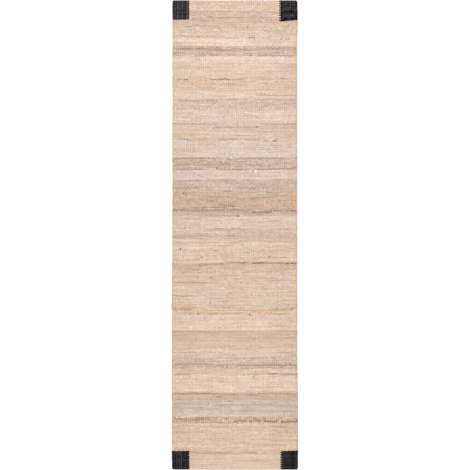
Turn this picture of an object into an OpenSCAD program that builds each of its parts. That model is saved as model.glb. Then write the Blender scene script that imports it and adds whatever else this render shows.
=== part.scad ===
// Flat-woven runner rug of undyed jute, with a block of black yarn woven into each corner.
// X runs across the rug, Y along it and Z up. The origin is under its middle, on the floor.

/* [Cloth] */
// Width across the rug, selvedge to selvedge
rug_w = 800; // [500:5:1200]
// Length along the warp
rug_l = 3000; // [1500:10:4500]
// Thickness of the woven cloth
rug_t = 8; // [6.5:0.1:12]
// Radius of the rug's four outer corners
corner_r = 12; // [4:1:24]

/* [Warp] */
// Distance between neighbouring warp threads, before they are spaced evenly
warp_pitch = 13.4; // [9:0.1:20]
// Diameter of one warp thread
warp_d = 2.6; // [1.6:0.1:3.4]
// Diameter of the thicker warp cord inside each selvedge
selvedge_cord_d = 4; // [2.6:0.1:4.8]
// Distance from the rug's edge to the axis of the selvedge cord
selvedge_inset = 4.5; // [3.6:0.1:7]
// Length of closed weft beyond the ends of the warp threads
warp_end_inset = 4; // [2:0.5:12]
// Room between a warp thread and the weft packed round it
warp_gap = 0.15; // [0.05:0.05:0.3]

/* [Black corner blocks] */
// Width of the block at the back left corner, to the middle of its teeth
block_back_left_w = 104; // [60:1:200]
// Length of the block at the back left corner
block_back_left_l = 119; // [60:1:200]
// Width of the block at the back right corner
block_back_right_w = 111; // [60:1:200]
// Length of the block at the back right corner
block_back_right_l = 125; // [60:1:200]
// Width of the block at the front left corner
block_front_left_w = 110; // [60:1:200]
// Length of the block at the front left corner
block_front_left_l = 115; // [60:1:200]
// Width of the block at the front right corner
block_front_right_w = 107; // [60:1:200]
// Length of the block at the front right corner
block_front_right_l = 116; // [60:1:200]
// Distance between the teeth where black yarn and jute turn back into each other
tooth_pitch = 14; // [8:0.5:24]
// How far a tooth reaches into the other yarn
tooth_depth = 7; // [3:0.5:12]
// Room between the black yarn and the jute
join_gap = 0.2; // [0.05:0.05:0.5]

/* [End tapes] */
// Width of the cotton tape sewn under each end
tape_w = 30; // [16:1:50]
// Thickness of the tape
tape_t = 1.2; // [0.8:0.1:1.5]
// Distance from the rug's end to the tape
tape_end_inset = 6; // [2:0.5:15]
// Distance from the rug's side to the end of the tape
tape_side_inset = 12; // [10:0.5:30]
// Room round the tape in the recess that it lies in
tape_gap = 0.1; // [0.05:0.05:0.2]
// Length of a stitch along the tape
stitch_l = 7; // [3:0.5:8]
// Thickness of the sewing thread
stitch_d = 0.6; // [0.4:0.1:0.7]
// Room round the sewing thread
stitch_gap = 0.05; // [0.02:0.01:0.08]

/* [Hidden] */
// Colours of the yarn lots, the black yarn and the cotton
peach = [0.87, 0.76, 0.67];
straw = [0.89, 0.79, 0.71];
cream = [0.92, 0.83, 0.76];
oat = [0.87, 0.79, 0.72];
sand = [0.85, 0.75, 0.67];
stone = [0.82, 0.74, 0.67];
rose = [0.81, 0.71, 0.64];
tan_brown = [0.81, 0.69, 0.61];
umber = [0.77, 0.66, 0.58];
charcoal = [0.17, 0.16, 0.18];
cotton = [0.90, 0.87, 0.80];

// One run of weft for each lot of yarn, from the back end to the front: rows and colour
LOTS = [
    [18, peach], [22, sand], [9, peach], [18, straw], [15, cream], [18, rose],
    [13, cream], [25, straw], [4, tan_brown], [22, peach], [15, straw], [20, sand],
    [22, oat], [11, sand], [18, straw], [5, stone], [30, oat], [23, rose],
    [18, oat], [22, stone], [29, tan_brown], [9, umber], [6, stone], [22, oat],
    [11, sand], [9, stone], [42, straw], [4, umber], [9, sand], [27, sand],
    [37, straw], [18, peach], [29, straw], [22, tan_brown], [16, sand], [11, oat],
    [13, stone], [9, tan_brown], [11, sand], [31, straw], [15, tan_brown], [26, stone],
    [5, sand], [11, umber], [35, peach], [16, sand], [6, tan_brown], [29, peach]
];

function total(list, count) = count == 0 ? 0 : list[count - 1][0] + total(list, count - 1);
row_pitch = rug_l / total(LOTS, len(LOTS));
function band_back(i) = rug_l / 2 - row_pitch * total(LOTS, i);
function band_front(i) = band_back(i + 1);
function band_name(i) = str("weft_band_", i < 9 ? "0" : "", i + 1);

// The corners, each as name, side in X, end in Y, width and length of its block
CORNERS = [
    ["back_left", -1, 1, block_back_left_w, block_back_left_l],
    ["back_right", 1, 1, block_back_right_w, block_back_right_l],
    ["front_left", -1, -1, block_front_left_w, block_front_left_l],
    ["front_right", 1, -1, block_front_right_w, block_front_right_l]
];
ENDS = [["back", 1], ["front", -1]];
SIDES = [["left", -1], ["right", 1]];

over = 1; // how far a cutting shape runs past a face
warp_z = rug_t / 2;
cord_x = rug_w / 2 - selvedge_inset;
warp_spaces = round(2 * cord_x / warp_pitch);
warp_step = 2 * cord_x / warp_spaces;
warp_x = [for (i = [1:warp_spaces - 1]) i * warp_step - cord_x];
warp_l = rug_l - 2 * warp_end_inset;
cord_l = rug_l - 2 * max(warp_end_inset, corner_r);

recess_t = tape_t + tape_gap;
tape_l = rug_w - 2 * tape_side_inset;
tape_y = rug_l / 2 - tape_end_inset - tape_w / 2;
stitch_x = [for (x = warp_x) if (x != warp_x[0]) x - warp_step / 2];
stitch_bottom = 2 * stitch_gap;
stitch_top = warp_z - warp_d / 2 - warp_gap - 6 * stitch_gap;

// One length of thread along Y at x, with length l and diameter d
module thread_along(x, l, d) {
    translate([x, l / 2, warp_z]) rotate([90, 0, 0]) cylinder(h = l, d = d, $fn = 32);
}

// Tunnels through the weft for the warp threads that lie between x_from and x_to
module warp_tunnels(x_from, x_to) {
    for (x = warp_x)
        if (x > x_from - warp_step && x < x_to + warp_step)
            thread_along(x, warp_l, warp_d + 2 * warp_gap);
    for (s = SIDES)
        if (s[1] * cord_x > x_from && s[1] * cord_x < x_to)
            thread_along(s[1] * cord_x, cord_l, selvedge_cord_d + 2 * warp_gap);
}

// Points of one tooth that starts at y, on a join whose middle is at x = w
function tooth(w, y, step, gap) = [
    [w - tooth_depth / 2 + gap, y + 0.35 * step - gap],
    [w + tooth_depth / 2 + gap, y + 0.5 * step - gap],
    [w + tooth_depth / 2 + gap, y + 0.85 * step + gap],
    [w - tooth_depth / 2 + gap, y + step + gap]
];

// Outline of a block whose outer corner is at the origin, grown by gap where it meets the jute
module block_outline(w, l, gap) {
    teeth = round(l / tooth_pitch);
    step = l / teeth;
    near = gap > 0 ? -over : 0;
    side = [for (i = [0:teeth - 1]) each tooth(w, i * step, step, gap)];
    polygon(concat([[near, near], [w - tooth_depth / 2 + gap, near]], side, [[near, l + gap]]));
}

// The block's solid at corner c, for its own shape or, with a gap, for the room that it needs
module block_solid(c, gap) {
    drop = gap > 0 ? over : 0;
    translate([c[1] * rug_w / 2, c[2] * rug_l / 2, -drop])
        mirror([c[1] > 0 ? 1 : 0, 0, 0])
            mirror([0, c[2] > 0 ? 1 : 0, 0])
                linear_extrude(rug_t + 2 * drop) block_outline(c[3], c[4], gap);
}

// The sliver outside the rounded corner c
module corner_trim(c) {
    translate([c[1] * rug_w / 2, c[2] * rug_l / 2, -over])
        mirror([c[1] > 0 ? 1 : 0, 0, 0])
            mirror([0, c[2] > 0 ? 1 : 0, 0])
                difference() {
                    translate([-over, -over, 0])
                        cube([corner_r + over, corner_r + over, rug_t + 2 * over]);
                    translate([corner_r, corner_r, -over])
                        cylinder(h = rug_t + 4 * over, r = corner_r, $fn = 48);
                }
}

// The two legs of a stitch, from z up into the weave under the warp
module stitch_legs(x, y, z, gap) {
    t = stitch_d + 2 * gap;
    for (s = [-1, 1])
        translate([x + s * (stitch_l - stitch_d) / 2 - t / 2, y - t / 2, z])
            cube([t, t, stitch_top + gap - z]);
}

// A whole stitch: the bar under the tape and its two legs
module stitch(x, y, gap) {
    z = gap > 0 ? -over : stitch_bottom;
    t = stitch_d + 2 * gap;
    translate([x - stitch_l / 2 - gap, y - t / 2, z])
        cube([stitch_l + 2 * gap, t, stitch_bottom + stitch_d + gap - z]);
    stitch_legs(x, y, z, gap);
}

// What the tape and its stitches take out of the cloth above them, between x_from and x_to
module end_cuts(end, x_from, x_to) {
    translate([-tape_l / 2 - tape_gap, end * tape_y - tape_w / 2 - tape_gap, -over])
        cube([tape_l + 2 * tape_gap, tape_w + 2 * tape_gap, recess_t + over]);
    for (x = stitch_x)
        if (x > x_from - warp_step && x < x_to + warp_step)
            stitch_legs(x, end * tape_y, recess_t - stitch_gap, stitch_gap);
}

module weft_band(i) {
    front = band_front(i);
    back = band_back(i);
    color(LOTS[i][1])
        difference() {
            translate([-rug_w / 2, front, 0]) cube([rug_w, back - front, rug_t]);
            warp_tunnels(-rug_w / 2, rug_w / 2);
            for (c = CORNERS)
                if (c[2] * (c[2] > 0 ? back : front) > rug_l / 2 - c[4] - join_gap)
                    block_solid(c, join_gap);
            for (e = ENDS)
                if (e[1] * (e[1] > 0 ? back : front) > tape_y - tape_w / 2 - tape_gap)
                    end_cuts(e[1], -rug_w / 2, rug_w / 2);
        }
}

module corner_block(c) {
    outer = c[1] * rug_w / 2;
    inner = outer - c[1] * (c[3] + tooth_depth / 2);
    color(charcoal)
        difference() {
            block_solid(c, 0);
            corner_trim(c);
            warp_tunnels(min(outer, inner), max(outer, inner));
            end_cuts(c[2], min(outer, inner), max(outer, inner));
        }
}

module warp_threads() {
    color(cotton)
        for (x = warp_x)
            thread_along(x, warp_l - 2 * warp_gap, warp_d);
}

module selvedge_cord(side) {
    color(cotton) thread_along(side * cord_x, cord_l - 2 * warp_gap, selvedge_cord_d);
}

module end_tape(end) {
    color(cotton)
        difference() {
            translate([-tape_l / 2, end * tape_y - tape_w / 2, 0]) cube([tape_l, tape_w, tape_t]);
            for (x = stitch_x)
                stitch(x, end * tape_y, stitch_gap);
        }
}

module tape_stitches(end) {
    color(cream)
        for (x = stitch_x)
            stitch(x, end * tape_y, 0);
}

for (i = [0:len(LOTS) - 1])
    weft_band(i);
for (c = CORNERS)
    corner_block(c);
warp_threads();
for (s = SIDES)
    selvedge_cord(s[1]);
for (e = ENDS)
    end_tape(e[1]);
for (e = ENDS)
    tape_stitches(e[1]);
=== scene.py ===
import math

import bmesh
import bpy
import numpy as np
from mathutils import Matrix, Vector


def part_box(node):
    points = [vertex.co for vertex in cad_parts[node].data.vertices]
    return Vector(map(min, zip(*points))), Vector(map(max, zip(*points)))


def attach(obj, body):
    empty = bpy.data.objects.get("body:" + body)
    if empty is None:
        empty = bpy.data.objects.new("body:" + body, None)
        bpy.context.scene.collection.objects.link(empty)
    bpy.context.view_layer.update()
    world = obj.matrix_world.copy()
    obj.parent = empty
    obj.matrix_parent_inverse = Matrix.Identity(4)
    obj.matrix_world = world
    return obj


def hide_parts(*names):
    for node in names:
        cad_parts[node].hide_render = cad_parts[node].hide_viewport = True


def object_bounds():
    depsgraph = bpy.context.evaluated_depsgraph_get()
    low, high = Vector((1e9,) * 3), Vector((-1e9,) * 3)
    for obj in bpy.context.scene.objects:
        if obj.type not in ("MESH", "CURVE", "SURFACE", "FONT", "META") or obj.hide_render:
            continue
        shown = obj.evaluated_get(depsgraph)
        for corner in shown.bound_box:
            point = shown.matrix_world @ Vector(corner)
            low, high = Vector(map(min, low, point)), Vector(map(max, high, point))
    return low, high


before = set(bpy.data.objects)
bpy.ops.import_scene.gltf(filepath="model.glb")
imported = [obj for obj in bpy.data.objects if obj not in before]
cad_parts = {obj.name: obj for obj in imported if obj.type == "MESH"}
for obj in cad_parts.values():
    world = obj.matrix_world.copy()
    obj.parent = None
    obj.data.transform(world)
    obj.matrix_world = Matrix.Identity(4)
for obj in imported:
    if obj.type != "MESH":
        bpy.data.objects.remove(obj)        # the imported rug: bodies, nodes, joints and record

cadLow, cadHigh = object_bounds()
print("frame loaded,", len(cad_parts), "nodes")

scene = bpy.context.scene
scene.view_settings.view_transform = "Standard"


# camera, straight above the rug
cameraSet = {
    "lens": 85,             # mm
    "sensor": 36,           # mm across
    "frameSide": 3.0035,    # metres of floor that the square frame takes in
    "offset": (0.0007, -0.0004),
    "farthest": 100,        # metres that it sees
}


def addCamera():
    data = bpy.data.cameras.new("overheadCamera")
    data.lens = cameraSet["lens"]
    data.sensor_width = cameraSet["sensor"]
    data.clip_end = cameraSet["farthest"]
    camera = bpy.data.objects.new("overheadCamera", data)
    rise = cameraSet["frameSide"] / 2 / (data.sensor_width / 2 / data.lens)
    dx, dy = cameraSet["offset"]
    camera.location = (dx, dy, cadHigh.z + rise)
    scene.collection.objects.link(camera)
    scene.camera = camera


# floor, sky and key light of a plain studio
studio = {
    "white": (1, 1, 1, 1),
    "skyStrength": 0.84,
    "keyStrength": 1.36,
    "keySpread": 35,        # degrees, the larger the softer
    "keyTilt": (-18, -28),  # degrees from straight down, about X and Y
    "floorSide": 40,
    "floorGap": 0.0002,     # between the floor and the rug
    "floorColor": (0.92, 0.92, 0.92, 1),
    "floorRoughness": 0.9,
}


def addSky():
    world = bpy.data.worlds.new("studioSky")
    world.use_nodes = True
    tree = world.node_tree
    sky = tree.nodes["Background"]
    sky.inputs["Color"].default_value = studio["white"]
    sky.inputs["Strength"].default_value = studio["skyStrength"]
    wall = tree.nodes.new("ShaderNodeBackground")       # a white wall, seen but not lighting the rug
    wall.inputs["Color"].default_value = studio["white"]
    seen = tree.nodes.new("ShaderNodeLightPath")
    mix = tree.nodes.new("ShaderNodeMixShader")
    tree.links.new(seen.outputs["Is Camera Ray"], mix.inputs[0])
    tree.links.new(sky.outputs[0], mix.inputs[1])
    tree.links.new(wall.outputs[0], mix.inputs[2])
    tree.links.new(mix.outputs[0], tree.nodes["World Output"].inputs["Surface"])
    scene.world = world


def addKeyLight():
    data = bpy.data.lights.new("keyLight", "SUN")
    data.energy = studio["keyStrength"]
    data.angle = math.radians(studio["keySpread"])
    key = bpy.data.objects.new("keyLight", data)
    key.rotation_euler = [math.radians(t) for t in studio["keyTilt"]] + [0]
    scene.collection.objects.link(key)


def meshObject(name, bm):
    mesh = bpy.data.meshes.new(name)
    bm.to_mesh(mesh)
    bm.free()
    made = bpy.data.objects.new(name, mesh)
    scene.collection.objects.link(made)
    return made


def addFloor():
    bm = bmesh.new()
    bmesh.ops.create_grid(bm, x_segments=1, y_segments=1, size=studio["floorSide"] / 2)
    bmesh.ops.translate(bm, vec=(0, 0, cadLow.z - studio["floorGap"]), verts=bm.verts)
    floor = meshObject("studioFloor", bm)
    paint = bpy.data.materials.new("floorPaint")
    paint.use_nodes = True
    shader = paint.node_tree.nodes["Principled BSDF"]
    shader.inputs["Base Color"].default_value = studio["floorColor"]
    shader.inputs["Roughness"].default_value = studio["floorRoughness"]
    floor.data.materials.append(paint)


addCamera()
addSky()
addKeyLight()
addFloor()
print("camera and studio in place")


# the weave: weft rows over warp ribs. Rib 0 is the left selvedge, row 0 starts at the back end
weave = {
    "ribs": 60,             # warp ribs across the rug, selvedges included
    "rows": 856,            # weft rows from end to end
    "relief": 0.55,         # share of half the thickness between a crest and the deepest gap
    "beadReach": (0.58, 1.06),      # from a bead's crest to where it ends, in ribs and in rows
    "beadCurve": (2.4, 2.2),        # how square its outline is, across and along the rib
    "slub": 0.09,           # uneven thickness of the yarn
    "ribSamples": (0, 0.3, 0.5, 0.7),
    "edgeSamples": (1, 0.955, 0.78, 0.45),      # shares of the way from the cord to the very edge
    "endSamples": (0.1, 0.28),      # extra lines, in rows, where the cloth rounds down at its ends
    "endRoll": 1.2,         # rows over which it rounds down
    "edgeCurve": 2.3,       # how square the selvedges are
    "endCurve": 2.2,        # how square the ends are
    "thinEdge": 0.08,       # share of half the thickness left at the very edge
    "cornerRadius": 0.012,
    "steadyRibs": 3,        # ribs at each side over which the ripples die down
    "rowPlay": 0.00055,     # how far a row strays from its place
    "rowDrop": 0.0028,      # how far to the front the rows settle between the ends
    "beatenRows": 14,       # rows at each end that are beaten up straighter the nearer the end
    "taper": 0.0036,        # the front end is this share wider than the middle
}
leftCord = sum(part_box("selvedge_cord_left"), Vector()).x / 2
rightCord = sum(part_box("selvedge_cord_right"), Vector()).x / 2
ribStep = (rightCord - leftCord) / (weave["ribs"] - 1)
rowStep = (cadHigh.y - cadLow.y) / weave["rows"]
lastRib = weave["ribs"] - 1
edgeRib = (leftCord - cadLow.x) / ribStep
middleZ = (cadLow.z + cadHigh.z) / 2
halfThick = (cadHigh.z - cadLow.z) / 2


def rowOf(y):
    return (cadHigh.y - y) / rowStep


# one lot of yarn for each band, from the back end: tone, shade and how speckled it is
yarnLots = [
    ("peach", 1.03, 0.5), ("sand", 0.98, 0.5), ("peach", 0.96, 0.4), ("straw", 0.96, 0.5),
    ("cream", 0.98, 0.3), ("rose", 1.075, 0.55), ("cream", 0.99, 0.2), ("straw", 0.95, 0.2),
    ("tan", 1.26, 0.5), ("peach", 0.98, 0.4), ("straw", 1.00, 0.3), ("sand", 1.05, 0.52),
    ("oat", 1.03, 0.4), ("sand", 1.06, 0.5), ("straw", 0.91, 0.4), ("stone", 1.13, 0.6),
    ("oat", 1.03, 0.4), ("rose", 1.05, 0.62), ("oat", 1.00, 0.3), ("stone", 0.99, 0.5),
    ("tan", 1.03, 0.52), ("umber", 1.06, 0.6), ("stone", 0.95, 0.5), ("oat", 0.98, 0.4),
    ("sand", 1.00, 0.4), ("stone", 0.97, 0.4), ("straw", 0.935, 0.46), ("umber", 1.22, 0.5),
    ("sand", 0.94, 0.4), ("sand", 1.02, 0.5), ("straw", 0.92, 0.4), ("peach", 0.94, 0.5),
    ("straw", 0.96, 0.3), ("tan", 1.06, 0.2), ("sand", 1.00, 0.4), ("oat", 0.93, 0.4),
    ("stone", 1.025, 0.56), ("tan", 1.02, 0.72), ("sand", 1.03, 0.4), ("straw", 0.98, 0.4),
    ("tan", 1.0, 0.35), ("stone", 1.025, 0.47), ("sand", 1.025, 0.4), ("umber", 1.17, 0.86),
    ("peach", 0.93, 0.44), ("sand", 1.05, 0.4), ("tan", 1.08, 0.5), ("peach", 0.96, 0.1),
]

# the four blocks of black yarn: the slant is how much further the edge reaches at its inner end, the reach
# is how far the woven block spreads past its plain solid, across and along the rug, and the trim is how far
# its teeth are drawn in, in ribs
blockSet = {
    "corner_block_back_left": {
        "side": -1, "end": "back", "slant": -0.0050, "reach": (0.0022, 0.0020),
        "trim": 0.22, "shade": 1.62, "streak": 0.20,
    },
    "corner_block_back_right": {
        "side": 1, "end": "back", "slant": 0.0130, "reach": (0.0030, 0.0039),
        "trim": 0.0, "shade": 0.94, "streak": 0.52,
    },
    "corner_block_front_left": {
        "side": -1, "end": "front", "slant": 0.0005, "reach": (0.0018, 0.0063),
        "trim": 0.16, "shade": 0.90, "streak": 0.19,
    },
    "corner_block_front_right": {
        "side": 1, "end": "front", "slant": -0.0035, "reach": (0.0006, 0.0078),
        "trim": 0.12, "shade": 0.74, "streak": 0.24,
    },
}
toothDepth = 0.007          # of the teeth where black yarn and jute turn back into each other
toothPlay = 0.22            # how much more some teeth are drawn in than others, in ribs
toothRound = 0.15           # how far a tooth draws in towards its two corners, in ribs
joinSpread = 8              # ribs over which the warp moves over to meet a join
joinFade = 40               # rows past the block over which it moves back
blockRibs = 8.4             # ribs across a block
easeRibs = 5                # ribs beside a block over which the rows bend to follow its edge
easeRows = 24               # rows before and after the edge over which they do

for name, block in blockSet.items():
    low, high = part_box(name)
    inner = high.x - toothDepth / 2 if block["side"] < 0 else low.x + toothDepth / 2
    block["joinRib"] = round((inner - leftCord) / ribStep)
    block["joinShift"] = inner - (leftCord + block["joinRib"] * ribStep) - block["side"] * block["reach"][0]
    edge = low.y if block["end"] == "back" else high.y
    block["edgeRow"] = round(rowOf(edge))

bandNames = sorted(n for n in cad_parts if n.startswith("weft_band_"))
bandRows = {n: (round(rowOf(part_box(n)[1].y)), round(rowOf(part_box(n)[0].y))) for n in bandNames}
lotEdges = [rows[0] for rows in bandRows.values()][1:]


def smooth(x):
    x = np.clip(x, 0, 1)
    return x * x * (3 - 2 * x)


def wave(rib, row, perRib, perRow, start=0):
    return np.sin(perRib * rib + perRow * row + start)


def beyondCord(rib):
    # share of the way from the outermost cord to the very edge
    return np.clip(np.maximum(-rib, rib - lastRib) / edgeRib, 0, 1)


def beadUnder(rib, row, nearest):
    # offset from the bead's crest in ribs and in rows, and the bead's row
    parity = np.mod(nearest, 2)
    beadRow = 2 * np.floor((row - parity + 0.5) / 2) + parity
    return rib - nearest, row - 0.5 - beadRow, beadRow


def beadHeight(rib, row, nearest):
    across, along, beadRow = beadUnder(rib, row, nearest)
    ribReach, rowReach = weave["beadReach"]
    ribCurve, rowCurve = weave["beadCurve"]
    fall = np.abs(across / ribReach) ** ribCurve + np.abs(along / rowReach) ** rowCurve
    plump = wave(nearest, beadRow, 0.8, 2.39) * wave(nearest, beadRow, -1.31, 0.71)
    return np.sqrt(np.clip(1 - fall, 0, 1)) * (1 - weave["slub"] * (1 - plump))


def reliefAt(rib, row):
    nearest = np.floor(rib + 0.5)
    other = nearest + np.where(rib > nearest, 1, -1)
    bead = np.maximum(beadHeight(rib, row, nearest), beadHeight(rib, row, other))
    height = 1 - weave["relief"] * (1 - bead)
    fromEnd = np.minimum(row, weave["rows"] - row)
    roll = np.clip(1 - fromEnd / weave["endRoll"], 0, 1)
    roundSide = np.sqrt(np.clip(1 - beyondCord(rib) ** weave["edgeCurve"], 0, 1))
    roundEnd = np.sqrt(np.clip(1 - roll ** weave["endCurve"], 0, 1))
    return halfThick * np.maximum(height * (roundSide * roundEnd), weave["thinEdge"])


lotPull = 0.3               # rows that a bead's yarn bulges past the edge of its lot
blockPull = 0.25            # the same at the edge of a block
pullReach = 1.5             # rows over which the bulge fades


def lotShift(rib, row):
    # where two lots meet, each bead keeps its own yarn, so the edge zigzags
    nearest = np.clip(np.floor(rib + 0.5), 0, lastRib)
    bulge = np.clip(1 - (2 * (rib - nearest)) ** 2, 0, 1)
    moved = np.zeros_like(row)

    def pull(edgeRow, where):
        side = np.where(np.mod(nearest + edgeRow, 2) == 1, 1, -1)
        return where * side * bulge * np.clip(1 - np.abs(row - edgeRow) / pullReach, 0, 1)

    for edgeRow in lotEdges:
        if row.min() - 2 < edgeRow < row.max() + 2:
            moved += pull(edgeRow, lotPull)
    for block in blockSet.values():
        inner = block["side"] * (rib - block["joinRib"]) > -0.5
        moved += pull(block["edgeRow"], blockPull * inner)
    return row + moved


def blackTooth(block, beadRow):
    # on the join rib every other bead is black, as long as the whole bead lies beside the block
    turn = np.mod((beadRow - block["joinRib"] % 2) / 2, 2) == 0
    if block["end"] == "back":
        return turn & (beadRow + 1.5 <= block["edgeRow"])
    return turn & (beadRow - 0.5 >= block["edgeRow"])


def inBlock(block, rib, row):
    # whether points on the join rib and beyond it are woven in black
    inward = -block["side"] * (rib - block["joinRib"])
    ahead = row < block["edgeRow"] if block["end"] == "back" else row > block["edgeRow"]
    beadRow = beadUnder(rib, row, np.float64(block["joinRib"]))[2]
    return ahead & ((inward < -0.5) | ((inward < 0.5) & blackTooth(block, beadRow)))


def toothShift(rib, row):
    # draws in the ends of the teeth, and moves the warp over to where the join lies
    moved = np.zeros_like(rib)
    for block in blockSet.values():
        joinRib = block["joinRib"]
        inward = -block["side"] * (rib - joinRib)
        ahead = row <= block["edgeRow"] if block["end"] == "back" else row >= block["edgeRow"]
        _, along, beadRow = beadUnder(rib, row, np.float64(joinRib))
        black = blackTooth(block, beadRow)
        full = np.clip(np.cos(np.pi / 2 * along), 0, 1)
        play = 0.5 + 0.5 * np.sin(1.9 * beadRow + joinRib) * np.sin(0.37 * beadRow)
        cornerIn = (block["trim"] + toothPlay / 2 + toothRound) * (1 - full)
        endIn = (block["trim"] + toothPlay * play) * full + cornerIn
        tip = np.where(black, endIn, cornerIn) * np.clip(1 - np.abs(inward - 0.5), 0, 1)
        root = np.where(black, cornerIn, endIn) * np.clip(1 - np.abs(inward + 0.5), 0, 1)
        moved += np.where(ahead, (tip - root) * block["side"], 0)
        far = np.abs(rib - joinRib) / joinSpread
        past = np.abs(row - block["edgeRow"]) / joinFade
        fade = np.where(ahead, 1, smooth(1 - past))
        moved += smooth(1 - far) * fade * block["joinShift"] / ribStep
    return moved


# dark and pale runs of yarn: from rib, to rib, row, strength (below 0 is pale)
runs = [
    (17, 19, 30, 0.25), (21, 24, 32, 0.25), (25, 32, 31, 0.20), (5, 8, 47, 0.32), (8, 13.5, 46.5, 0.22),
    (13, 22, 47.5, 0.20), (29, 30, 47.5, 0.3), (35, 36, 47, 0.3), (53, 55.5, 48.5, 0.25),
    (22, 22.6, 53, 0.35), (36.2, 36.8, 67, 0.85), (37.4, 38, 67, 0.9), (38.6, 39.2, 67, 0.9),
    (51.4, 52, 70, 0.5), (54, 54.6, 70.5, 0.6), (55.2, 55.8, 70, 0.6), (10, 32, 67.5, 0.14),
    (42, 47, 67.5, 0.18), (1, 17, 88, 0.24), (17, 28, 89, 0.26), (28, 37, 87.5, 0.16), (40, 59, 86, 0.18),
    (0, 5, 95, 0.25), (34, 38, 96, 0.2), (47, 51, 95, 0.22), (10, 16, 99.5, 0.2), (17.5, 22, 98.7, 0.24),
    (36, 38, 99.5, 0.3), (40, 59, 100, 0.26), (10.5, 11.1, 106.5, 0.35), (12, 12.6, 106.5, 0.35),
    (32, 32.6, 114, 0.4), (47.5, 48, 108, 0.25), (49.3, 49.8, 108, 0.25), (2, 4, 142.5, 0.3),
    (5, 7, 143.5, 0.5), (13, 13.6, 144, 0.4), (15.2, 16, 144.5, 0.4), (17.5, 20.5, 142.5, 0.3),
    (20.5, 27, 142.5, 0.45), (27, 34, 142.5, 0.28), (34.5, 37, 144, -0.4), (42, 47, 142, 0.15),
    (51.5, 54, 141, 0.3), (40, 60, 173, 0.24), (2, 12, 183, 0.2), (16, 21, 182.5, 0.24),
    (41, 60, 180.5, 0.17), (28, 34, 188, 0.14), (1, 21, 224, 0.2), (44, 58, 224, 0.2), (58, 59, 224, 0.5),
    (20, 41, 229.7, 0.22), (39.7, 41, 229.7, 0.35), (5, 17, 253, 0.16), (22, 31, 252.7, 0.2),
    (34, 40, 253, 0.25), (44.3, 45, 254, 0.6), (47.6, 50, 254, 0.6), (49.5, 50.2, 250.5, 0.45),
    (42, 47, 271, 0.16), (1, 20, 288.3, 0.2), (25.5, 28, 290.5, 0.22), (32, 53, 287.5, 0.22),
    (10, 28, 301, 0.2), (2, 8, 301, 0.16), (38, 42, 299.5, 0.2), (0, 15, 308.4, 0.3),
    (20.5, 34, 308, 0.34), (34, 36.5, 308.5, 0.22), (40, 60, 307.2, 0.26), (37.8, 38.5, 310.5, 0.85),
    (36.6, 37.3, 310.5, -0.6), (39, 39.8, 310.5, -0.6), (11, 11.8, 327, 0.3), (35.3, 39.3, 329, 0.18),
    (1, 12, 342, 0.22), (36.5, 39.3, 343, 0.3), (24, 28, 348.4, 0.3), (41.5, 44.5, 351, -0.4),
    (4.5, 5.2, 352, 0.45), (16, 19.5, 366.3, 0.3), (36.5, 42, 360, 0.25), (18, 25.5, 377, 0.28),
    (24, 29.5, 374.6, 0.3), (0, 5.6, 381.7, 0.4), (5.6, 24, 383, 0.2), (26, 38, 382.2, 0.22),
    (37.5, 47.5, 385.6, 0.36), (48, 52, 382.5, 0.25), (56, 60, 383, 0.4), (30.2, 31.8, 392, 0.6),
    (12, 28, 393, 0.2), (20, 24, 416, 0.3), (28, 32, 414.5, 0.2), (26, 30, 427, 0.25),
    (3, 3.7, 452.4, 0.85), (4.7, 5.4, 466.5, 0.35), (13.5, 14.2, 466.5, 0.5), (33, 33.7, 444.6, 0.3),
    (49.7, 50.4, 447.3, 0.3), (34, 36.5, 460.5, 0.18), (38, 55, 468.8, 0.16), (46, 46.7, 469, 0.35),
    (12, 22, 480, 0.26), (22.3, 24, 479, 0.5), (25.4, 32, 478.3, 0.26), (31.8, 35.3, 478.5, 0.42),
    (35.3, 38, 479, 0.2), (38, 43.5, 479, 0.62), (43.5, 54.7, 479.6, 0.3), (54.7, 60, 480, 0.5),
    (9.5, 13, 489, 0.24), (5, 9.5, 487, 0.14), (33.3, 37, 496, 0.15), (44, 57, 509.7, 0.15),
    (1, 20, 514, 0.16), (0, 9.6, 538.4, 0.24), (37.2, 38, 535.4, 0.35), (17.6, 18.3, 551.3, 0.7),
    (18.7, 19.6, 550.5, -0.4), (22.3, 27, 547.8, 0.2), (0, 9, 562, 0.3), (32, 57, 562.6, 0.12),
    (7.6, 9, 570.2, 0.3), (11.6, 13, 570.2, 0.3), (17, 20.3, 571, 0.26), (29, 32, 568.5, 0.2),
    (36.2, 37, 570.5, 0.6), (48.5, 54.5, 570, 0.26), (2, 9, 585.4, 0.12), (0, 39, 602.8, 0.12),
    (32, 32.6, 608, 0.3), (1, 16, 662, 0.25), (38, 60, 665.2, 0.22), (0.5, 9, 681, 0.22),
    (45, 50, 680.3, 0.3), (51, 60, 682, 0.24), (45, 51, 676.5, -0.35), (38.4, 39.1, 685, 0.35),
    (23, 23.6, 694, 0.25), (42, 53, 700, 0.1), (40.5, 47, 708.3, -0.2), (0, 17.5, 715, 0.24),
    (17.5, 30, 716.5, 0.16), (35, 40.5, 718, 0.26), (40.5, 60, 715.8, 0.2), (20.7, 24, 721, 0.26),
    (26, 28, 729.5, 0.35), (21.5, 35, 737, 0.2), (35, 60, 738.6, 0.14), (16.6, 17.3, 734, 0.5),
    (31.5, 60, 749, 0.12), (1, 5, 764.3, 0.35), (5, 17, 761.5, 0.18), (29.4, 35.3, 766.6, 0.35),
    (36, 42, 766.5, 0.25), (43.2, 49.6, 768, 0.5), (51.5, 60, 768, 0.5), (45.5, 54, 777, 0.18),
    (1, 8, 788, 0.14), (45, 49.5, 803, 0.12), (34, 50, 810, 0.12), (0, 8, 819.6, 0.16), (8, 26, 825, 0.2),
    (33, 40, 825, 0.14),
]
runEnd = 0.4                # ribs over which a run starts and ends
runWander = 0.35            # rows that it strays to either side
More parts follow.
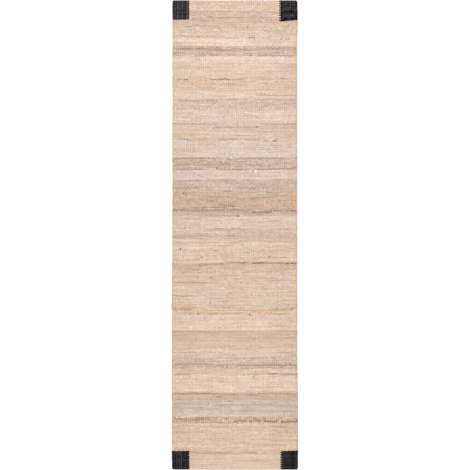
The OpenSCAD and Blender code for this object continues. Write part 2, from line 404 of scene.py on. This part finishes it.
# patches of other hue: middle rib and row, reach in ribs and rows, warmth (below 0 is grey) and
# rosiness
patches = [
    (30, 191, 120, 14, -0.65, 0), (30, 228, 120, 9, -0.6, 0), (30, 338, 60, 12, 0.3, 0.5),
    (30, 391, 60, 4, 0.3, 0.5), (30, 431, 60, 6, 0.3, 0.4), (30, 678, 120, 8, -0.4, 0),
    (30, 743, 120, 18, -0.45, 0), (30, 759, 120, 5, -0.8, 0), (57.3, 115, 1.6, 60, 0.8, 0),
    (57.3, 230, 1.4, 45, 0.7, 0), (57.3, 295, 1.4, 30, 0.2, 0.9), (57.3, 360, 1.6, 34, 0.9, 0),
    (58, 388, 1.6, 14, 0, 0.9), (57.6, 500, 1.4, 90, 0.5, 0), (57, 830, 1.5, 30, 0.4, 0.2),
    (56.5, 165, 2.5, 24, 0.2, 0.7), (10, 52, 15, 8, -0.45, 0), (20, 57, 8, 9, -0.1, 0.6),
    (14, 148, 10, 10, 0.4, 0.3), (9, 320, 9, 16, -0.9, 0), (35, 321, 9, 9, -0.2, 0.3),
    (25, 362, 9, 10, 0.2, 0.2), (44, 373, 6, 9, 0, 0.9), (6, 240, 12, 14, 0.6, 0.1),
    (14, 228, 10, 8, 0.3, 0.4), (46, 300, 12, 14, -0.5, 0), (20, 453, 10, 16, 0, 0.6),
    (24, 470, 12, 8, -0.6, 0), (50, 452, 10, 18, 0.2, 0), (8, 498, 10, 16, 0.4, 0),
    (30, 520, 16, 12, 0, 0.4), (8, 562, 10, 8, 0.8, 0), (22, 566, 12, 8, 0.5, 0),
    (46, 566, 14, 8, 0.5, 0), (24, 605, 12, 8, 0.2, 0.3), (6, 620, 9, 16, 0.3, 0),
    (20, 664, 8, 6, 0, 0.7), (50, 665, 10, 10, 0.2, 0.3), (46, 706, 8, 8, -0.6, 0),
    (56, 724, 6, 9, 0, 0.6), (20, 758, 5, 5, -0.2, 1.0), (4, 762, 6, 6, 0.8, 0), (50, 764, 12, 8, 0.6, 0),
    (56, 820, 5, 5, -0.8, 0), (40, 28, 12, 14, 0, 0.4), (50, 14, 10, 14, 0.3, 0), (12, 60, 9, 8, 0.5, 0),
]
patchCore = 1.4             # the larger, the more of a patch's rows have its full hue


def dyeAt(rib, row):
    # how dark, how warm and how rosy the yarn is. A run is a yarn, so it colours whole beads
    dark = np.zeros_like(rib)
    warm = np.zeros_like(rib)
    rose = np.zeros_like(rib)
    nearest = np.floor(rib + 0.5)
    beadMiddle = beadUnder(rib, row, nearest)[2] + 0.5
    for first, last, middle, strength in runs:
        if row.min() - 3 < middle < row.max() + 3:
            along = smooth((rib - first) / runEnd + 0.5) * smooth((last - rib) / runEnd + 0.5)
            away = np.abs(beadMiddle - middle - runWander * np.sin(0.8 * nearest + middle))
            dark += strength * along * (1 - smooth(away - 0.5))
    for midRib, midRow, ribs, rows, warmth, rosiness in patches:
        if row.min() - rows < midRow < row.max() + rows:
            near = smooth(1 - np.abs(rib - midRib) / ribs)
            near = near * smooth(patchCore * (1 - np.abs(row - midRow) / rows))
            warm += near * warmth
            rose += near * rosiness
    return dark, warm, rose


# places where the rows bow: middle rib and row, reach in ribs and rows, drop to the front
bends = [
    (6, 478, 22, 34, 0.011), (52, 470, 18, 26, -0.004), (30, 82, 30, 20, 0.003), (44, 400, 24, 26, 0.004),
    (12, 300, 20, 24, -0.003), (40, 560, 26, 22, 0.004), (14, 640, 22, 26, -0.004),
    (46, 700, 22, 20, -0.003), (20, 760, 26, 24, 0.003), (36, 190, 26, 26, -0.003),
    (10, 150, 18, 22, 0.002), (50, 250, 20, 22, 0.003), (30, 122, 90, 44, 0.0048),
    (30, 226, 90, 56, 0.0052), (30, 432, 90, 26, 0.004), (30, 590, 90, 90, 0.005),
    (30, 690, 90, 44, 0.0022), (30, 716, 90, 34, 0.004), (30, 758, 90, 30, -0.003),
]
# how the ribs ripple: size in ribs, and the wave's angle for each rib and each row
ribRipples = [(0.05, 2.1, 0), (0.07, 0.9, 0.012), (0.05, 0.31, -0.037)]
# how the rows ripple: size in metres, the wave's angle for each rib and each row, and its start
rowRipples = [(0.0009, 0.19, 0.021, 0), (0.0006, 0.47, -0.063, 1.1)]
# how far the sides are drawn in between the ends. The left side turns outward towards the front
drawIn = {
    "left": 0.0014,
    "right": 0.0042,
    "keptRows": 36,         # rows at each end that keep their width
    "backRows": 70,         # rows over which the sides draw in after those
    "frontRows": 200,
    "turn": 1.7,            # how many times its own draw-in the left side moves outward again
    "turnRow": 420,         # where it starts to
    "turnRows": 110,        # rows over which it does
}
# the outline of the selvedges
selvedge = {
    "turn": 0.0006,         # how far each turn of the weft stands out
    "uneven": 0.0005,       # how much further some do
    "scallop": 0.0022,      # how far every fourth row stands out
    "scallopPlay": 0.4,     # how much the scallops differ
    "sway": 0.0006,
}


def ribX(rib, row):
    inside = smooth(np.minimum(rib, lastRib - rib) / weave["steadyRibs"])
    stray = sum(size * wave(rib, row, perRib, perRow) for size, perRib, perRow in ribRipples)
    x = leftCord + (rib + toothShift(rib, row) + inside * stray) * ribStep
    between = smooth((row - drawIn["keptRows"]) / drawIn["backRows"])
    between = between * smooth((weave["rows"] - drawIn["keptRows"] - row) / drawIn["frontRows"])
    turned = drawIn["turn"] * smooth((row - drawIn["turnRow"]) / drawIn["turnRows"])
    share = np.clip(rib / lastRib, 0, 1)
    return x + between * (drawIn["left"] * (1 - turned) * (1 - share) - drawIn["right"] * share)


def rowY(rib, row, settle):
    y = cadHigh.y - row * rowStep
    stray = np.sin(1.83 * row + 0.6 * np.sin(0.9 * rib)) * wave(rib, row, 0.83, 0.37)
    y = y - settle * weave["rowPlay"] * stray
    for size, perRib, perRow, start in rowRipples:
        y = y - settle * size * wave(rib, row, perRib, perRow, start)
    y = y - settle * weave["rowDrop"]
    for midRib, midRow, ribs, rows, drop in bends:
        y = y - drop * smooth(1 - np.abs(rib - midRib) / ribs) * smooth(1 - np.abs(row - midRow) / rows)
    for block in blockSet.values():
        inward = -block["side"] * (rib - block["joinRib"])
        outside = 0.5 * np.clip(1 - inward / easeRibs, 0, 1)
        lean = np.where(inward < 0, 0.5 + inward / blockRibs, outside)
        near = smooth(1 - np.abs(row - block["edgeRow"]) / easeRows)
        beside = smooth(1 - np.maximum(inward, 0) / easeRibs)
        spread = block["slant"] * lean + block["reach"][1] * beside
        y = y - spread * near * (1 if block["end"] == "back" else -1)
    return y


def roundCorners(x, y):
    # a square of cloth at each corner is drawn in to a quarter circle
    radius = weave["cornerRadius"]
    px = np.abs(x) - (cadHigh.x - radius)
    py = np.abs(y) - (cadHigh.y - radius)
    corner = (px > 0) & (py > 0)
    squeeze = np.where(corner, np.maximum(px, py) / np.maximum(np.hypot(px, py), 1e-9), 1)
    x = np.where(corner, np.sign(x) * (cadHigh.x - radius + px * squeeze), x)
    y = np.where(corner, np.sign(y) * (cadHigh.y - radius + py * squeeze), y)
    return x, y


def placeAt(rib, row):
    settle = smooth(np.minimum(row, weave["rows"] - row) / weave["beatenRows"])
    x, y = roundCorners(ribX(rib, row), rowY(rib, row, settle))
    # each turn of the weft round the selvedge stands out a little
    side = np.sign(rib - weave["ribs"] / 2)
    turn = np.cos(np.pi * row + np.pi / 2) ** 2 * selvedge["turn"]
    turn = turn + selvedge["uneven"] * np.sin(0.33 * row) * np.sin(0.071 * row)
    play = selvedge["scallopPlay"]
    scallop = selvedge["scallop"] * np.sin(np.pi / 4 * row) ** 2
    turn = turn + scallop * (1 - play + play * np.sin(0.23 * row + side))
    x = x + np.sign(x) * beyondCord(rib) * turn * settle
    x = x + selvedge["sway"] * np.sin(0.045 * row + 0.9 * side) * settle
    return x * (1 - weave["taper"] * y / cadHigh.y), y


def ribLines(first, last):
    left = [-share * edgeRib for share in weave["edgeSamples"]]
    middle = [i + s for i in range(lastRib) for s in weave["ribSamples"]] + [lastRib]
    lines = left + middle + [lastRib - x for x in reversed(left)]
    return np.array([x for x in lines if first - 1e-6 <= x <= last + 1e-6])


def rowLines(first, last):
    lines = list(np.arange(first, last + 0.25, 0.5))
    lines += [x for x in weave["endSamples"] if first == 0]
    lines += [weave["rows"] - x for x in weave["endSamples"] if last == weave["rows"]]
    return np.array(sorted(lines))


def weaveSlab(name, ribs, rows, owned=None):
    # a closed slab of cloth: a flat net of cells, given thickness and then shaped
    bm = bmesh.new()
    cellsAcross, cellsAlong = len(ribs) - 1, len(rows) - 1
    bmesh.ops.create_grid(bm, x_segments=cellsAcross, y_segments=cellsAlong, size=0.5)
    cells = np.outer(np.diff(rows), np.diff(ribs)) * rowStep * ribStep
    area = cells.sum()
    if owned:
        middle = np.array([f.calc_center_median()[:2] for f in bm.faces]) + 0.5
        column = np.clip((middle[:, 0] * cellsAcross).astype(int), 0, cellsAcross - 1)
        line = np.clip((middle[:, 1] * cellsAlong).astype(int), 0, cellsAlong - 1)
        mine = owned((ribs[column] + ribs[column + 1]) / 2, (rows[line] + rows[line + 1]) / 2)
        lost = [f for f, keep in zip(bm.faces[:], mine) if not keep]
        bmesh.ops.delete(bm, geom=lost, context="FACES")
        area = cells[line[mine], column[mine]].sum()
    raised = bmesh.ops.extrude_face_region(bm, geom=bm.faces[:])
    top = [v for v in raised["geom"] if isinstance(v, bmesh.types.BMVert)]
    bmesh.ops.translate(bm, vec=(0, 0, 1), verts=top)
    slab = meshObject(name, bm)
    shapeSlab(slab.data, ribs, rows)
    return slab, float(area)


tapeBoxes = [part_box("end_tape_back"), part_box("end_tape_front")]
tapeRoom = 0.0002           # between the cloth and the tape in its recess
sharpAngle = 70             # degrees between faces that make a sharp edge


def shapeSlab(mesh, ribs, rows):
    count = len(mesh.vertices)
    flat = np.empty(count * 3)
    mesh.vertices.foreach_get("co", flat)
    flat = flat.reshape(-1, 3)
    rib = ribs[np.rint((flat[:, 0] + 0.5) * (len(ribs) - 1)).astype(int)]
    row = rows[np.rint((flat[:, 1] + 0.5) * (len(rows) - 1)).astype(int)]
    isTop = flat[:, 2] > 0.5
    row = lotShift(rib, row)
    x, y = placeAt(rib, row)
    faceRow = row + np.where(isTop, 0, 1)       # what is under on one face is over on the other
    z = middleZ + np.where(isTop, 1, -1) * reliefAt(rib, faceRow)
    for low, high in tapeBoxes:                 # the recess for the end tape
        under = (np.abs(x) < high.x + tapeRoom) & (y > low.y - tapeRoom) & (y < high.y + tapeRoom)
        z = np.where(under & ~isTop, np.maximum(z, high.z + tapeRoom), z)
    mesh.vertices.foreach_set("co", np.stack([x, y, z], axis=1).ravel())
    setPointVectors(mesh, "weave", [rib, faceRow, np.zeros(count)])
    setPointVectors(mesh, "dye", dyeAt(rib, row))
    mesh.polygons.foreach_set("use_smooth", np.ones(len(mesh.polygons), bool))
    mesh.update()
    bm = bmesh.new()
    bm.from_mesh(mesh)
    bmesh.ops.recalc_face_normals(bm, faces=bm.faces[:])
    bm.to_mesh(mesh)
    bm.free()
    mesh.set_sharp_from_angle(angle=math.radians(sharpAngle))


def setPointVectors(mesh, name, columns):
    made = mesh.attributes.new(name, "FLOAT_VECTOR", "POINT")
    made.data.foreach_set("vector", np.stack(columns, axis=1).ravel())


# what the node groups are made of
def socketIn(tree, target, value):
    if isinstance(value, bpy.types.NodeSocket):
        tree.links.new(value, target)
    else:
        target.default_value = value


def calc(tree, operation, a, b=0.0, c=0.0, clamp=False):
    node = tree.nodes.new("ShaderNodeMath")
    node.operation = operation
    node.use_clamp = clamp
    for target, value in zip(node.inputs, (a, b, c)):
        socketIn(tree, target, value)
    return node.outputs[0]


def plus(tree, a, b):
    return calc(tree, "ADD", a, b)


def minus(tree, a, b, clamp=False):
    return calc(tree, "SUBTRACT", a, b, clamp=clamp)


def times(tree, a, b, clamp=False):
    return calc(tree, "MULTIPLY", a, b, clamp=clamp)


def timesPlus(tree, a, b, c):
    return calc(tree, "MULTIPLY_ADD", a, b, c)


def steep(tree, value, power):
    # the size of a value, whatever its sign, raised to a power
    return calc(tree, "POWER", calc(tree, "ABSOLUTE", value), power)


def combine(tree, x, y, z=0.0):
    node = tree.nodes.new("ShaderNodeCombineXYZ")
    for target, value in zip(node.inputs, (x, y, z)):
        socketIn(tree, target, value)
    return node.outputs[0]


def separate(tree, vector):
    node = tree.nodes.new("ShaderNodeSeparateXYZ")
    tree.links.new(vector, node.inputs[0])
    return node.outputs


def pointVector(tree, name):
    node = tree.nodes.new("ShaderNodeAttribute")
    node.attribute_name = name
    return separate(tree, node.outputs["Vector"])


def noise(tree, vector, scale=1.0, detail=2.0, roughness=0.5):
    node = tree.nodes.new("ShaderNodeTexNoise")
    settings = {"Vector": vector, "Scale": scale, "Detail": detail, "Roughness": roughness}
    for key, value in settings.items():
        socketIn(tree, node.inputs[key], value)
    return node.outputs["Fac"]


def whiteNoise(tree, x, y, z):
    node = tree.nodes.new("ShaderNodeTexWhiteNoise")
    node.noise_dimensions = "3D"
    socketIn(tree, node.inputs["Vector"], combine(tree, x, y, z))
    return node.outputs["Value"]


def remap(tree, value, low, high, toLow, toHigh):
    node = tree.nodes.new("ShaderNodeMapRange")
    node.interpolation_type = "SMOOTHSTEP"
    settings = {"Value": value, "From Min": low, "From Max": high, "To Min": toLow, "To Max": toHigh}
    for key, number in settings.items():
        socketIn(tree, node.inputs[key], number)
    return node.outputs["Result"]


def blendColor(tree, factor, a, b, kind="MIX"):
    node = tree.nodes.new("ShaderNodeMix")
    node.data_type = "RGBA"
    node.blend_type = kind
    socketIn(tree, node.inputs["Factor"], factor)
    socketIn(tree, node.inputs[6], a)
    socketIn(tree, node.inputs[7], b)
    return node.outputs[2]


def tint(tree, color, by):
    return blendColor(tree, 1.0, color, by, "MULTIPLY")


def scaleColor(tree, color, factor):
    node = tree.nodes.new("ShaderNodeVectorMath")
    node.operation = "SCALE"
    socketIn(tree, node.inputs[0], color)
    socketIn(tree, node.inputs["Scale"], factor)
    return node.outputs[0]


def newGroup(name, inputs, outputs):
    tree = bpy.data.node_groups.new(name, "ShaderNodeTree")
    for label, kind, value in inputs:
        socket = tree.interface.new_socket(label, in_out="INPUT", socket_type="NodeSocket" + kind)
        socket.default_value = value
    for label, kind in outputs:
        tree.interface.new_socket(label, in_out="OUTPUT", socket_type="NodeSocket" + kind)
    return tree, tree.nodes.new("NodeGroupInput").outputs, tree.nodes.new("NodeGroupOutput").inputs


def useGroup(tree, group, values):
    node = tree.nodes.new("ShaderNodeGroup")
    node.node_tree = group
    for label, value in values.items():
        socketIn(tree, node.inputs[label], value)
    return node.outputs


def addBump(tree, shader, height, strength, distance):
    node = tree.nodes.new("ShaderNodeBump")
    node.inputs["Strength"].default_value = strength
    node.inputs["Distance"].default_value = distance
    tree.links.new(height, node.inputs["Height"])
    tree.links.new(node.outputs["Normal"], shader.inputs["Normal"])


def makeBeadGroup():
    # where a point lies on its bead: across the rib, along it, and the numbers of row and rib
    outputs = [(n, "Float") for n in ("Across", "Along", "Row", "Rib")]
    tree, _, result = newGroup("weftBead", [], outputs)
    pattern = pointVector(tree, "weave")
    rib = calc(tree, "ROUND", pattern["X"])
    parity = calc(tree, "MODULO", rib, 2.0)
    fromCrest = minus(tree, pattern["Y"], 0.5)
    pair = calc(tree, "ROUND", times(tree, minus(tree, fromCrest, parity), 0.5))
    row = timesPlus(tree, pair, 2.0, parity)
    tree.links.new(minus(tree, pattern["X"], rib), result["Across"])
    tree.links.new(minus(tree, fromCrest, row), result["Along"])
    tree.links.new(row, result["Row"])
    tree.links.new(rib, result["Rib"])
    return tree


# how the yarn varies along its rows: noise for each rib and each row, seed, detail and roughness
yarnFields = {
    "stretch": (0.06, 0.55, 0, 3, 0.6),
    "patch": (0.07, 0.09, 0, 3, 0.6),
    "rowTone": (0.025, 0.42, 7, 1, 0.5),
    "packing": (0.21, 0.06, 11, 1, 0.5),
    "hueRow": (0.06, 0.3, 31, 2, 0.5),
    "huePatch": (0.13, 0.08, 43, 2, 0.5),
    "speck": (0.9, 0.8, 57, 2, 0.6),
    "run": (0.19, 0.44, 71, 2, 0.6),
}
# how it varies along its strands, which wind round it at a slant: the same, without a seed
strandFields = {
    "strand": (1.3, 4.2, 2, 0.6),
    "fibre": (3.2, 17.0, 3, 0.7),
}
strandSlant = 0.9           # rows that a strand climbs for each rib
# how much each of them changes the tone, in shares of the yarn's streak
toneWeights = {"stretch": 6.6, "patch": 2.0, "strand": 4.2, "fibre": 6.0, "bead": 1.0, "rowTone": 4.6}
oddWeight = 1.6             # the same for the few beads that stand out

warmTint = (1.06, 0.97, 0.82, 1)
greyTint = (0.93, 0.99, 1.06, 1)
rosyTint = (1.03, 0.93, 0.97, 1)
hueTints = ((1.02, 1.0, 0.92, 1), (1.01, 0.98, 1.0, 1), (0.975, 0.99, 1.06, 1))
barkTint = (0.62, 0.56, 0.52, 1)
paleYarn = (0.95, 0.84, 0.72, 1)


def makeFields(tree, bead, ribPlace, rowPlace, seed):
    fields = {}
    for name, (perRib, perRow, start, detail, roughness) in yarnFields.items():
        across, along = times(tree, ribPlace, perRib), times(tree, rowPlace, perRow)
        place = combine(tree, across, along, plus(tree, seed, start))
        fields[name] = noise(tree, place, 1.0, detail, roughness)
    slant = timesPlus(tree, bead["Across"], strandSlant, bead["Along"])
    own = timesPlus(tree, bead["Row"], 3.3, bead["Rib"])        # each bead has strands of its own
    for name, (perRib, perRow, detail, roughness) in strandFields.items():
        place = combine(tree, times(tree, ribPlace, perRib), times(tree, slant, perRow), own)
        fields[name] = noise(tree, place, 1.0, detail, roughness)
    fields["bead"] = whiteNoise(tree, bead["Rib"], bead["Row"], seed)
    fields["rib"] = whiteNoise(tree, bead["Rib"], 3.0, seed)
    return fields


def yarnLight(tree, given, fields):
    # light and dark of ribs, long stretches, patches, strands, fibre, beads and rows
    light = timesPlus(tree, minus(tree, fields["rib"], 0.5), given["Rib Play"], 1.0)
    for name, weight in toneWeights.items():
        weight = times(tree, given["Streak"], weight)
        light = timesPlus(tree, minus(tree, fields[name], 0.5), weight, light)
    # a few beads stand out, dark or pale
    odd = steep(tree, timesPlus(tree, fields["bead"], 2.0, -1.0), 4.0)
    odd = times(tree, odd, calc(tree, "SIGN", minus(tree, fields["bead"], 0.56)))
    light = timesPlus(tree, odd, times(tree, given["Streak"], oddWeight), light)
    # in a lot spun of mixed fibre, dark and pale beads lie side by side
    darkBead = remap(tree, fields["bead"], 0.12, 0.42, 1.0, 0.0)
    paleBead = remap(tree, fields["bead"], 0.75, 0.95, 0.0, 0.35)
    mixed = times(tree, minus(tree, paleBead, darkBead), given["Stipple"])
    return times(tree, light, plus(tree, mixed, 1.0))


def paintedGapShade(tree, given, bead, fields):
    # painted shade in the gaps between beads, deepest along a dark streak
    across = steep(tree, times(tree, bead["Across"], 2.0), 5.0)
    along = steep(tree, bead["Along"], 3.0)
    outward = calc(tree, "POWER", plus(tree, across, along), 1 / 3)
    gap = remap(tree, outward, given["Gap Start"], 1.06, 0.0, 1.0)
    # the painted shade is deeper where the yarn lies loosely packed
    packed = remap(tree, fields["packing"], 0.35, 0.65, 0.5, 1.3)
    looseness = times(tree, packed, remap(tree, fields["stretch"], 0.35, 0.60, 1.7, 0.75))
    looseness = timesPlus(tree, minus(tree, looseness, 1.0), given["Gap Play"], 1.0)
    shade = times(tree, times(tree, gap, looseness), given["Gap Shade"])
    return minus(tree, 1.0, shade, clamp=True)


def sideToneAndEdgeShade(tree, ribPlace, light):
    # the sides are a little darker than the middle. The turns at the very edge are painted in shade
    middle = lastRib / 2
    fromMiddle = calc(tree, "ABSOLUTE", minus(tree, ribPlace, middle))
    light = times(tree, light, remap(tree, fromMiddle, lastRib * 0.2, lastRib * 0.5, 1.015, 0.975))
    return times(tree, light, remap(tree, fromMiddle, middle - 0.4, middle + 0.2, 1.0, 0.78))


def yarnColor(tree, given, fields, light):
    # warmer, rosier and greyer stretches, and darker yarn is browner
    hue = times(tree, plus(tree, fields["hueRow"], fields["huePatch"]), 0.5)
    tone = given["Tone"]
    hues = [blendColor(tree, given["Hue Play"], tone, tint(tree, tone, by)) for by in hueTints]
    color = blendColor(tree, remap(tree, hue, 0.38, 0.5, 0.0, 1.0), hues[0], hues[1])
    color = blendColor(tree, remap(tree, hue, 0.5, 0.62, 0.0, 1.0), color, hues[2])
    redder = calc(tree, "POWER", light, minus(tree, 1.0, given["Browning"]))
    yellower = calc(tree, "POWER", light, plus(tree, 1.0, given["Browning"]))
    return tint(tree, color, combine(tree, redder, light, yellower))


def addBark(tree, given, fields, color):
    # short dark runs where the fibre holds more bark, and flecks of bark left on it
    run = times(tree, remap(tree, fields["run"], 0.58, 0.70, 0.0, 0.9), given["Fleck"])
    color = blendColor(tree, run, color, tint(tree, given["Tone"], barkTint))
    speck = times(tree, remap(tree, fields["speck"], 0.66, 0.74, 0.0, 1.0), given["Fleck"])
    return blendColor(tree, speck, color, given["Fleck Color"])


def addDye(tree, given, fields, color):
    # what was placed one by one
    dye = pointVector(tree, "dye")
    uneven = timesPlus(tree, fields["bead"], 1.7, 1.0)
    dark = times(tree, dye["X"], uneven, clamp=True)
    pale = times(tree, times(tree, dye["X"], -0.5), uneven, clamp=True)
    warm, grey, rosy = (tint(tree, color, by) for by in (warmTint, greyTint, rosyTint))
    color = blendColor(tree, times(tree, dye["Y"], 1.0, clamp=True), color, warm)
    color = blendColor(tree, times(tree, dye["Y"], -1.0, clamp=True), color, grey)
    color = blendColor(tree, times(tree, dye["Z"], 1.0, clamp=True), color, rosy)
    color = blendColor(tree, dark, color, given["Fleck Color"])
    return blendColor(tree, pale, color, paleYarn)


def makeYarnGroup(beadGroup):
    # colour, roughness and height of spun bast yarn, laid over the ribs
    inputs = [
        ("Tone", "Color", (0.7, 0.5, 0.4, 1)), ("Fleck Color", "Color", (0.215, 0.12, 0.07, 1)),
        ("Streak", "Float", 0.1), ("Fleck", "Float", 0.4), ("Hue Play", "Float", 0.5),
        ("Gap Shade", "Float", 0.3), ("Gap Start", "Float", 0.7), ("Gap Play", "Float", 1.0),
        ("Rib Play", "Float", 0.05), ("Browning", "Float", 0.1), ("Stipple", "Float", 0.0),
        ("Seed", "Float", 0.0),
    ]
    outputs = [("Color", "Color"), ("Roughness", "Float"), ("Height", "Float")]
    tree, given, result = newGroup("bastYarn", inputs, outputs)
    bead = useGroup(tree, beadGroup, {})
    ribPlace = plus(tree, bead["Rib"], bead["Across"])
    rowPlace = plus(tree, bead["Row"], bead["Along"])
    fields = makeFields(tree, bead, ribPlace, rowPlace, given["Seed"])
    light = times(tree, yarnLight(tree, given, fields), paintedGapShade(tree, given, bead, fields))
    light = sideToneAndEdgeShade(tree, ribPlace, light)
    color = yarnColor(tree, given, fields, light)
    color = addDye(tree, given, fields, addBark(tree, given, fields, color))
    tree.links.new(color, result["Color"])
    tree.links.new(timesPlus(tree, fields["strand"], 0.25, 0.68), result["Roughness"])
    tree.links.new(timesPlus(tree, fields["fibre"], 0.45, fields["strand"]), result["Height"])
    return tree


yarnGroup = makeYarnGroup(makeBeadGroup())

yarnTones = {
    "peach": (0.752, 0.558, 0.429),
    "straw": (0.783, 0.604, 0.479),
    "cream": (0.831, 0.651, 0.533),
    "oat": (0.730, 0.584, 0.485),
    "sand": (0.694, 0.521, 0.407),
    "stone": (0.638, 0.501, 0.410),
    "rose": (0.631, 0.468, 0.376),
    "tan": (0.617, 0.445, 0.337),
    "umber": (0.565, 0.402, 0.301),
}
# gapShade is how deep the painted shade lies in the gaps between beads, gapStart where on a bead it begins
juteSet = {
    "streak": 0.082, "huePlay": 0.5, "gapShade": 0.26, "gapStart": 0.74, "gapPlay": 1.0, "ribPlay": 0.03,
    "browning": 0.15, "bump": 0.0011, "sheen": 0.12, "specular": 0.3, "shade": (0.928, 0.945, 0.942),
}
# what a lot's speckle changes: yarn above the start is spun of mixed fibre, and its gaps get deeper painted
# shade
speckleSet = {"start": 0.45, "gaps": 2.4, "stipple": 0.5, "plainStreak": 0.7, "streak": 0.75}
blackTone = (0.058, 0.050, 0.058)
# the black yarn is painted almost black in its gaps from close to each crest, painted shade, so the crests
# stand out as painted highlights
blackSet = {
    "huePlay": 0.8, "gapShade": 0.98, "gapStart": 0.15, "gapPlay": 0.25, "ribPlay": 0.75,
    "browning": 0.0, "bump": 0.0011, "sheen": 0.0, "specular": 0.05,
}
bumpStrength = 0.8
sheenRoughness = 0.5


def yarnMaterial(name, tone, fleck, seed, look):
    material = bpy.data.materials.new(name)
    material.use_nodes = True
    tree = material.node_tree
    shader = tree.nodes["Principled BSDF"]
    mixed = max(0, fleck - speckleSet["start"])
    unevenness = speckleSet["plainStreak"] + speckleSet["streak"] * fleck if fleck else 1
    yarn = useGroup(tree, yarnGroup, {
        "Tone": (*tone, 1),
        "Streak": look["streak"] * unevenness,
        "Fleck": fleck,
        "Hue Play": look["huePlay"],
        "Gap Shade": look["gapShade"] * (1 + speckleSet["gaps"] * mixed),
        "Gap Start": look["gapStart"],
        "Gap Play": look["gapPlay"],
        "Rib Play": look["ribPlay"],
        "Browning": look["browning"],
        "Stipple": speckleSet["stipple"] * mixed,
        "Seed": seed,
    })
    addBump(tree, shader, yarn["Height"], bumpStrength, look["bump"])
    tree.links.new(yarn["Color"], shader.inputs["Base Color"])
    tree.links.new(yarn["Roughness"], shader.inputs["Roughness"])
    shader.inputs["Sheen Weight"].default_value = look["sheen"]
    shader.inputs["Sheen Roughness"].default_value = sheenRoughness
    shader.inputs["Specular IOR Level"].default_value = look["specular"]
    return material


def besideBand(block, first, last):
    return first < block["edgeRow"] if block["end"] == "back" else last > block["edgeRow"]


def makeBand(name, lot, seed):
    first, last = bandRows[name]
    cut = [block for block in blockSet.values() if besideBand(block, first, last)]

    def owned(rib, row):
        taken = np.zeros(len(rib), bool)
        for block in cut:
            taken |= inBlock(block, rib, row)
        return ~taken

    ribs, rows = ribLines(-1, lastRib + 1), rowLines(first, last)
    band, area = weaveSlab("jute_" + name, ribs, rows, owned if cut else None)
    tone, shade, fleck = lot
    color = [c * shade * balance for c, balance in zip(yarnTones[tone], juteSet["shade"])]
    band.data.materials.append(yarnMaterial("jute_" + name[-2:], color, fleck, seed, juteSet))
    declareCloth(band, name, area)


def makeBlock(name, block, seed):
    atBack, atLeft = block["end"] == "back", block["side"] < 0
    rows = rowLines(0, block["edgeRow"]) if atBack else rowLines(block["edgeRow"], weave["rows"])
    joinRib = block["joinRib"]
    ribs = ribLines(-1, joinRib + 0.5) if atLeft else ribLines(joinRib - 0.5, lastRib + 1)
    black, area = weaveSlab("black_" + name, ribs, rows, lambda rib, row: inBlock(block, rib, row))
    color = [c * block["shade"] for c in blackTone]
    look = {**blackSet, "streak": block["streak"]}
    yarnName = "black_yarn_" + name.removeprefix("corner_block_")
    black.data.materials.append(yarnMaterial(yarnName, color, 0.0, seed, look))
    declareCloth(black, name, area)


def declareCloth(cloth, name, area):
    points = np.empty(len(cloth.data.vertices) * 3)
    cloth.data.vertices.foreach_get("co", points)
    size = np.ptp(points.reshape(-1, 3), axis=0)
    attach(cloth, "root")
    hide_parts(name)
    width, length = float(size[0]), float(size[1])
    area = min(area, width * length)


seedStep = 3.1              # between one lot of yarn and the next
blackSeed = 200
for number, name in enumerate(bandNames):
    makeBand(name, yarnLots[number], number * seedStep)
print("woven", len(bandNames), "bands of jute")
for number, (name, block) in enumerate(blockSet.items()):
    makeBlock(name, block, blackSeed + number * seedStep)
print("woven", len(blockSet), "black blocks")


# cotton tape, its stitches, and the threads inside the cloth
tapeSet = {
    "tone": (0.78, 0.72, 0.60, 1), "stripe": 900, "slant": 35, "bump": 0.0004, "roughness": 0.85,
}
threadSet = {
    "tone": (0.80, 0.71, 0.56, 1), "stripe": 1600, "slant": 60, "bump": 0.0002, "roughness": 0.6,
}
cottonBump = 0.7
cottonSheen = 0.15


def makeTwillGroup():
    # slanting ridges of twill or of twisted thread
    inputs = [("Tone", "Color", (0.78, 0.72, 0.60, 1)), ("Stripe", "Float", 900.0), ("Slant", "Float", 0.6)]
    outputs = [("Color", "Color"), ("Height", "Float")]
    tree, given, result = newGroup("twillRidges", inputs, outputs)
    place = tree.nodes.new("ShaderNodeTexCoord").outputs["Object"]
    turned = tree.nodes.new("ShaderNodeVectorRotate")
    turned.rotation_type = "Z_AXIS"
    tree.links.new(place, turned.inputs["Vector"])
    tree.links.new(given["Slant"], turned.inputs["Angle"])
    along = separate(tree, turned.outputs[0])["X"]
    soft = noise(tree, place, 260.0, 3.0, 0.6)
    turns = times(tree, given["Stripe"], math.tau)
    phase = timesPlus(tree, along, turns, times(tree, soft, 1.5))
    ridge = timesPlus(tree, calc(tree, "SINE", phase), 0.5, 0.5)
    tree.links.new(timesPlus(tree, soft, 0.4, ridge), result["Height"])
    # each ridge is painted lighter on its crest and in painted shade between ridges; the soft noise is tone
    # that differs at random
    light = timesPlus(tree, ridge, 0.14, 0.88)
    light = timesPlus(tree, minus(tree, soft, 0.5), 0.35, light)
    tree.links.new(scaleColor(tree, given["Tone"], light), result["Color"])
    return tree


twillGroup = makeTwillGroup()


def cottonMaterial(name, look):
    material = bpy.data.materials.new(name)
    material.use_nodes = True
    tree = material.node_tree
    shader = tree.nodes["Principled BSDF"]
    twill = useGroup(tree, twillGroup, {
        "Tone": look["tone"],
        "Stripe": look["stripe"],
        "Slant": math.radians(look["slant"]),
    })
    addBump(tree, shader, twill["Height"], cottonBump, look["bump"])
    tree.links.new(twill["Color"], shader.inputs["Base Color"])
    shader.inputs["Roughness"].default_value = look["roughness"]
    shader.inputs["Sheen Weight"].default_value = cottonSheen
    return material


tapeCotton = cottonMaterial("cotton_twill", tapeSet)
threadCotton = cottonMaterial("sewing_thread", threadSet)
for name in ("end_tape_back", "end_tape_front", "warp_threads", "selvedge_cord_left", "selvedge_cord_right"):
    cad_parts[name].data.materials[0] = tapeCotton
for name in ("tape_stitches_back", "tape_stitches_front"):
    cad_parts[name].data.materials[0] = threadCotton
print("cotton tape and threads dressed")
